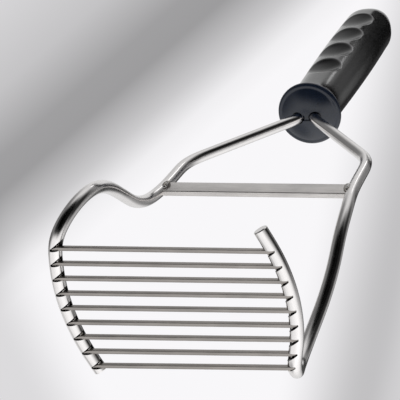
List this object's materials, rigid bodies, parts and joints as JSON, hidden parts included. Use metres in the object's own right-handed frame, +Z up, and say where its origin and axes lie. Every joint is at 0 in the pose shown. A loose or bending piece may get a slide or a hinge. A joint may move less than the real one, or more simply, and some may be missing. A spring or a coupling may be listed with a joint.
{
  "type": "hand masher",
  "caption": "Rigid hand masher: parallel blade bars between two curved rails, carried by two bent steel rods and a cross strip under an upright moulded handle.",
  "frame": {"origin": "the plane that the two rails stand on, in the middle under the handle's axis", "axes": "+Z up along the handle's axis, towards its domed end; X along the blade bars; Y across them"},
  "size_m": [0.0903, 0.0716, 0.3283],
  "materials": {
    "polished_rod": "polished stainless steel, soft mirror",
    "satin_bar": "satin stainless steel, drawn along its length",
    "satin_strip": "satin stainless steel, brushed along its length",
    "weld_metal": "weld and braze metal, dull",
    "black_grip": "black moulded plastic, semi gloss",
    "black_guard": "black moulded plastic, satin face"
  },
  "bodies": {
    "root": {"left_rod": "polished_rod", "right_rod": "polished_rod", "cross_strip": "satin_strip", "blade_bar_1": "satin_bar", "blade_bar_2": "satin_bar", "blade_bar_3": "satin_bar", "blade_bar_4": "satin_bar", "blade_bar_5": "satin_bar", "blade_bar_6": "satin_bar", "blade_bar_7": "satin_bar", "blade_bar_8": "satin_bar", "blade_bar_9": "satin_bar", "braze_left_1": "weld_metal", "braze_left_2": "weld_metal", "braze_left_3": "weld_metal", "braze_left_4": "weld_metal", "braze_left_5": "weld_metal", "braze_left_6": "weld_metal", "braze_left_7": "weld_metal", "braze_left_8": "weld_metal", "braze_left_9": "weld_metal", "braze_right_1": "weld_metal", "braze_right_2": "weld_metal", "braze_right_3": "weld_metal", "braze_right_4": "weld_metal", "braze_right_5": "weld_metal", "braze_right_6": "weld_metal", "braze_right_7": "weld_metal", "braze_right_8": "weld_metal", "braze_right_9": "weld_metal", "strip_weld_left_front": "weld_metal", "strip_weld_left_back": "weld_metal", "strip_weld_right_front": "weld_metal", "strip_weld_right_back": "weld_metal", "handle_guard": "black_guard", "handle_grip": "black_grip"}
  },
  "joints": []
}
